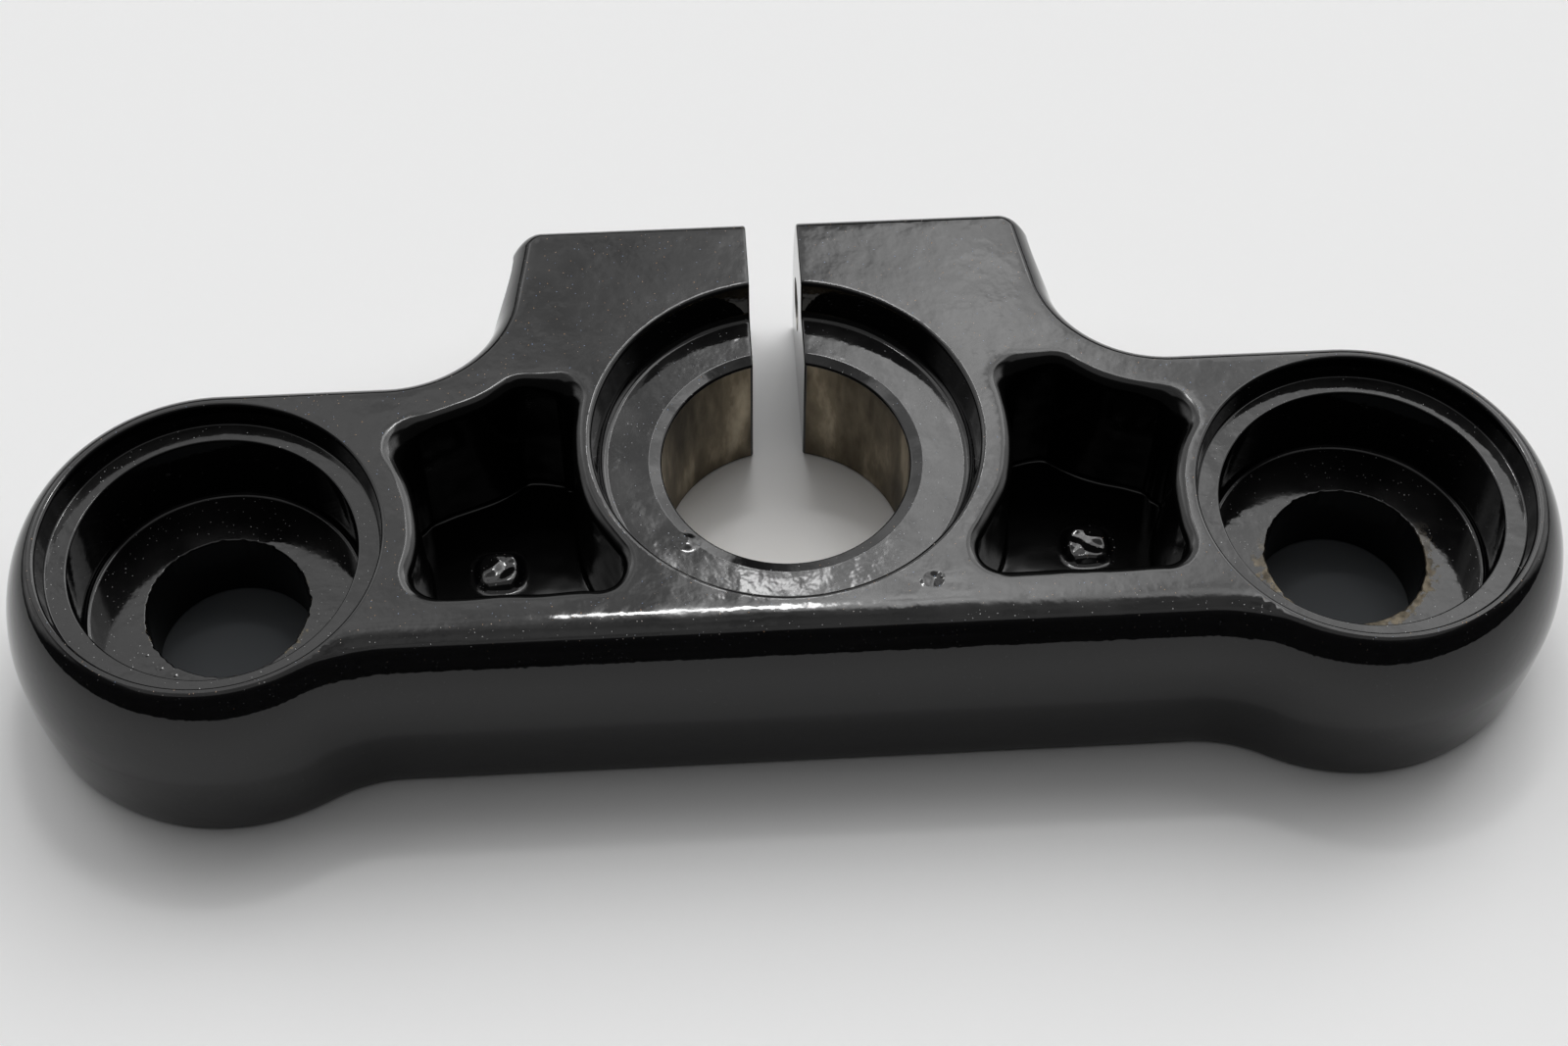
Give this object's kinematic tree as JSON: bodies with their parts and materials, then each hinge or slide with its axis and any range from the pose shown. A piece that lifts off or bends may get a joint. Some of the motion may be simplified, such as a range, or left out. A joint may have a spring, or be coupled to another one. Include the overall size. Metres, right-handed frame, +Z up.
{
  "type": "motorcycle triple clamp",
  "caption": "Gloss black cast triple clamp with two fork cups, a recessed stem bore, two pockets and a split pinch clamp.",
  "frame": {"origin": "axis of the stem bore at the flat underside", "axes": "+Z up along the stem bore towards the recessed face, +X along the line of the fork cups, +Y towards the split ears"},
  "size_m": [0.2752, 0.1106, 0.036],
  "materials": {
    "black_paint": "gloss"
  },
  "bodies": {
    "root": {"clamp_body": "black_paint"}
  },
  "joints": []
}
